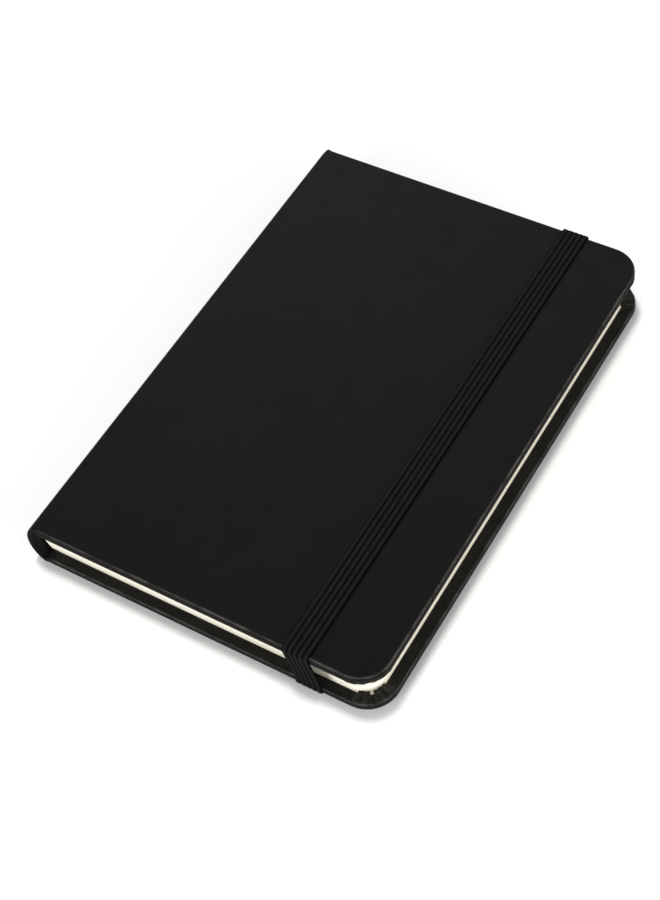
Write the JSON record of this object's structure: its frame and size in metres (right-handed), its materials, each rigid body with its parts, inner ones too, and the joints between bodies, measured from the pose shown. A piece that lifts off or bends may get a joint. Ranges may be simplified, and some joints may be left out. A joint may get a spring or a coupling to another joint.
{
  "type": "pocket notebook",
  "caption": "Hard-cover pocket notebook with a rounded spine, a sewn text block and a woven elastic strap that holds it shut.",
  "frame": {"origin": "centre of the bottom face of the closed notebook's box, on the back cover's outer face", "axes": "+X from the spine to the fore-edge, +Y from the tail to the head, +Z from the back cover up to the front cover"},
  "size_m": [0.0982, 0.1412, 0.0149],
  "materials": {
    "leatherette": "smooth matt black polyurethane leatherette",
    "cover_board": "grey bookbinding board",
    "endpaper": "cream uncoated endpaper",
    "page_paper": "cream uncoated writing paper",
    "elastic": "black ribbed woven elastic",
    "kraft_lining": "brown kraft paper",
    "mull": "open-weave cotton gauze",
    "thread": "waxed cotton thread"
  },
  "bodies": {
    "back_cover": {"back_board": "cover_board", "back_cover_skin": "leatherette", "back_pastedown": "endpaper", "back_flyleaf": "endpaper", "signature_07": "page_paper", "signature_08": "page_paper", "signature_09": "page_paper", "signature_10": "page_paper", "signature_11": "page_paper", "signature_12": "page_paper", "elastic_anchor_head": "elastic", "elastic_anchor_tail": "elastic", "elastic_side_head": "elastic", "elastic_side_tail": "elastic"},
    "spine": {"spine_skin": "leatherette", "spine_strip": "cover_board", "spine_lining": "kraft_lining", "spine_mull": "mull", "sewing_thread": "thread"},
    "front_cover": {"front_board": "cover_board", "front_cover_skin": "leatherette", "front_pastedown": "endpaper", "front_flyleaf": "endpaper", "signature_01": "page_paper", "signature_02": "page_paper", "signature_03": "page_paper", "signature_04": "page_paper", "signature_05": "page_paper", "signature_06": "page_paper"},
    "elastic": {"elastic_strap": "elastic"}
  },
  "joints": [
    {"name": "cover_open", "type": "hinge", "parent": "back_cover", "child": "spine", "pos_m": [-0.0471, 0, 0.00105], "axis": [0, -1, 0], "range_deg": [0, 90]},
    {"name": "front_hinge", "type": "hinge", "parent": "spine", "child": "front_cover", "pos_m": [-0.0471, 0, 0.01325], "axis": [0, -1, 0], "range_deg": [0, 90]},
    {"name": "elastic_release", "type": "hinge", "parent": "back_cover", "child": "elastic", "pos_m": [0.0285, 0, 0.00715], "axis": [0, 1, 0], "range_deg": [0, 180], "deforming": ["elastic_strap", "elastic_side_head", "elastic_side_tail"]}
  ],
  "couplings": [
    {"joint": "front_hinge", "follows": "cover_open", "ratio": 1},
    {"joint": "elastic_release", "follows": "cover_open", "ratio": 2}
  ]
}
